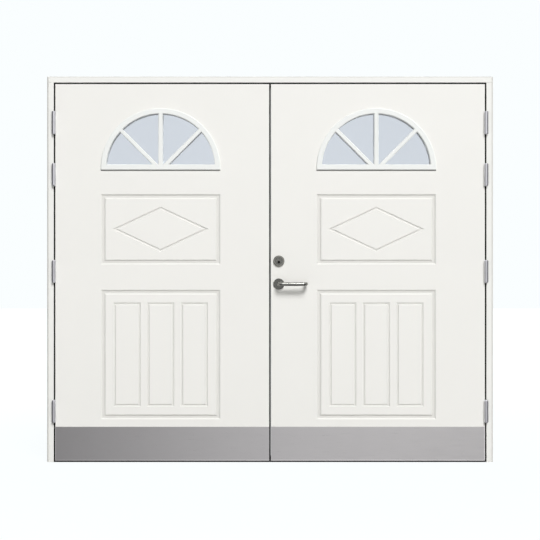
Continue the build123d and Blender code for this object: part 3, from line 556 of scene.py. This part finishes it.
plateScrews = {
    "head": {"sides": 24, "radius": 0.0041, "height": 0.0003, "rim": 0.0007, "crown": 0.0002,
             "socket": "cross", "slotLength": 0.0046, "slotWidth": 0.0009, "slotDepth": 0.0009},
    "hingeHeights": (1.817, 1.539, 1.021, 0.272),
    "pattern": ((-0.047, -0.021), (-0.016, -0.037), (0.016, -0.021), (0.047, -0.037)),    # (up, depth)
    "leafPlate": 1.151,
    "framePlate": 1.159,
}
screw = roundHead("plateScrew", plateScrews["head"])
inFrame = []
for side, leaf in ((-1, "left_leaf"), (1, "right_leaf")):
    inLeaf = []
    for height in plateScrews["hingeHeights"]:
        for up, depth in plateScrews["pattern"]:
            inLeaf.append(((side * plateScrews["leafPlate"], depth, height + up), (side, 0, 0)))
            inFrame.append(((side * plateScrews["framePlate"], depth, height + up), (-side, 0, 0)))
    setOut(screw, leaf + "_hinge_screws", leaf, "zincPlatedSteel", inLeaf)
setOut(screw, "frame_hinge_screws", "frame", "zincPlatedSteel", inFrame)

# two screws hold the lock's forend in the right leaf's edge, and two the strike plate opposite
edgeScrews = {"depth": -0.0225, "heights": (0.8905, 1.1405), "plate": 0.0045}
for name, leaf, side in (("forend_screws", "right_leaf", 1), ("strike_screws", "left_leaf", -1)):
    setOut(screw, name, leaf, "zincPlatedSteel",
           [((side * edgeScrews["plate"], edgeScrews["depth"], z), (-side, 0, 0))
            for z in edgeScrews["heights"]])

# six in each tower bolt's bracket, two in the keep that the top bolt shoots into
towerScrews = {"x": -0.042, "beside": 0.016, "face": 0.0105, "fromEnd": 0.014}
keepScrews = {"beside": 0.01225, "depth": 0.027, "face": 2.011}
onBrackets = []
for bracket in ("top_bolt_bracket", "bottom_bolt_bracket"):
    low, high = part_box(bracket)
    for z in (low[2] + towerScrews["fromEnd"], (low[2] + high[2]) / 2, high[2] - towerScrews["fromEnd"]):
        for hand in (-1, 1):
            onBrackets.append(((towerScrews["x"] + hand * towerScrews["beside"], towerScrews["face"], z),
                               (0, 1, 0)))
setOut(screw, "bolt_bracket_screws", "left_leaf", "zincPlatedSteel", onBrackets)
setOut(screw, "bolt_keep_screws", "frame", "zincPlatedSteel",
       [((towerScrews["x"] + hand * keepScrews["beside"], keepScrews["depth"], keepScrews["face"]),
         (0, 0, -1)) for hand in (-1, 1)])

sillScrews = {"depth": -0.02, "top": 0.005, "count": 6, "reach": 1.05}
setOut(screw, "threshold_screws", "frame", "zincPlatedSteel",
       [((sillScrews["reach"] * (2 * i / (sillScrews["count"] - 1) - 1), sillScrews["depth"],
          sillScrews["top"]), (0, 0, 1)) for i in range(sillScrews["count"])])
bpy.data.objects.remove(screw)
print("screws driven")

# the middle of each leaf's window, across the door
windowMiddle = {}
for leaf in ("left", "right"):
    low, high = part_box(leaf + "_glass_panes")
    windowMiddle[leaf + "_leaf"] = (low[0] + high[0]) / 2

windowCaps = {
    "head": {"sides": 28, "radius": 0.0056, "height": 0.0008, "rim": 0.0009, "crown": 0.0006,
             "socket": "hex", "slotLength": 0.0026, "slotDepth": 0.0003},
    "radius": 0.3055,
    "springHeight": 1.575,
    "footHeight": 1.5795,
    "face": 0.0165,
    "angles": (22, 56, 90, 124, 158),
    "alongFoot": (-0.24, 0, 0.24),
}
cap = roundHead("windowCap", windowCaps["head"])
for leaf, middle in windowMiddle.items():
    places = [((middle + windowCaps["radius"] * math.cos(math.radians(angle)), windowCaps["face"],
                windowCaps["springHeight"] + windowCaps["radius"] * math.sin(math.radians(angle))), (0, 1, 0))
              for angle in windowCaps["angles"]]
    places += [((middle + x, windowCaps["face"], windowCaps["footHeight"]), (0, 1, 0))
               for x in windowCaps["alongFoot"]]
    setOut(cap, leaf + "_window_caps", leaf, "mouldedAsaPlastic", places)
bpy.data.objects.remove(cap)
print("window caps fitted")


# a black strip under the foot of each outside window frame stands in for its shadow, seen as a thin dark line

footShadowStrip = {"halfLength": 0.3195, "top": 1.5652, "height": 0.0034, "proud": 0.0032,
            "round": 0.0012, "steps": 4}
for leaf, middle in windowMiddle.items():
    deselectAll()
    bpy.ops.mesh.primitive_cube_add(size=1, location=(middle, leafFace - footShadowStrip["proud"] / 2,
                                                      footShadowStrip["top"] - footShadowStrip["height"] / 2))
    strip = bpy.context.object
    strip.name = strip.data.name = leaf + "_window_foot_shadow_strip"
    strip.scale = (2 * footShadowStrip["halfLength"], footShadowStrip["proud"], footShadowStrip["height"])
    bpy.ops.object.transform_apply(location=True, rotation=True, scale=True)
    bpy.ops.object.mode_set(mode="EDIT")
    mesh = bmesh.from_edit_mesh(strip.data)
    deselectMesh(mesh)
    for rim in mesh.edges:
        rim.select = all(corner.co.y < leafFace - footShadowStrip["proud"] / 2 for corner in rim.verts)
    bmesh.update_edit_mesh(strip.data)
    bpy.ops.mesh.bevel(offset=footShadowStrip["round"], segments=footShadowStrip["steps"], affect="EDGES")
    bpy.ops.object.mode_set(mode="OBJECT")
    bpy.ops.object.shade_smooth_by_angle(angle=smoothAngle)
    strip.data.materials.append(finishes["extrudedSealRubber"])
    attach(strip, leaf)
print("window feet given painted shadow strips")
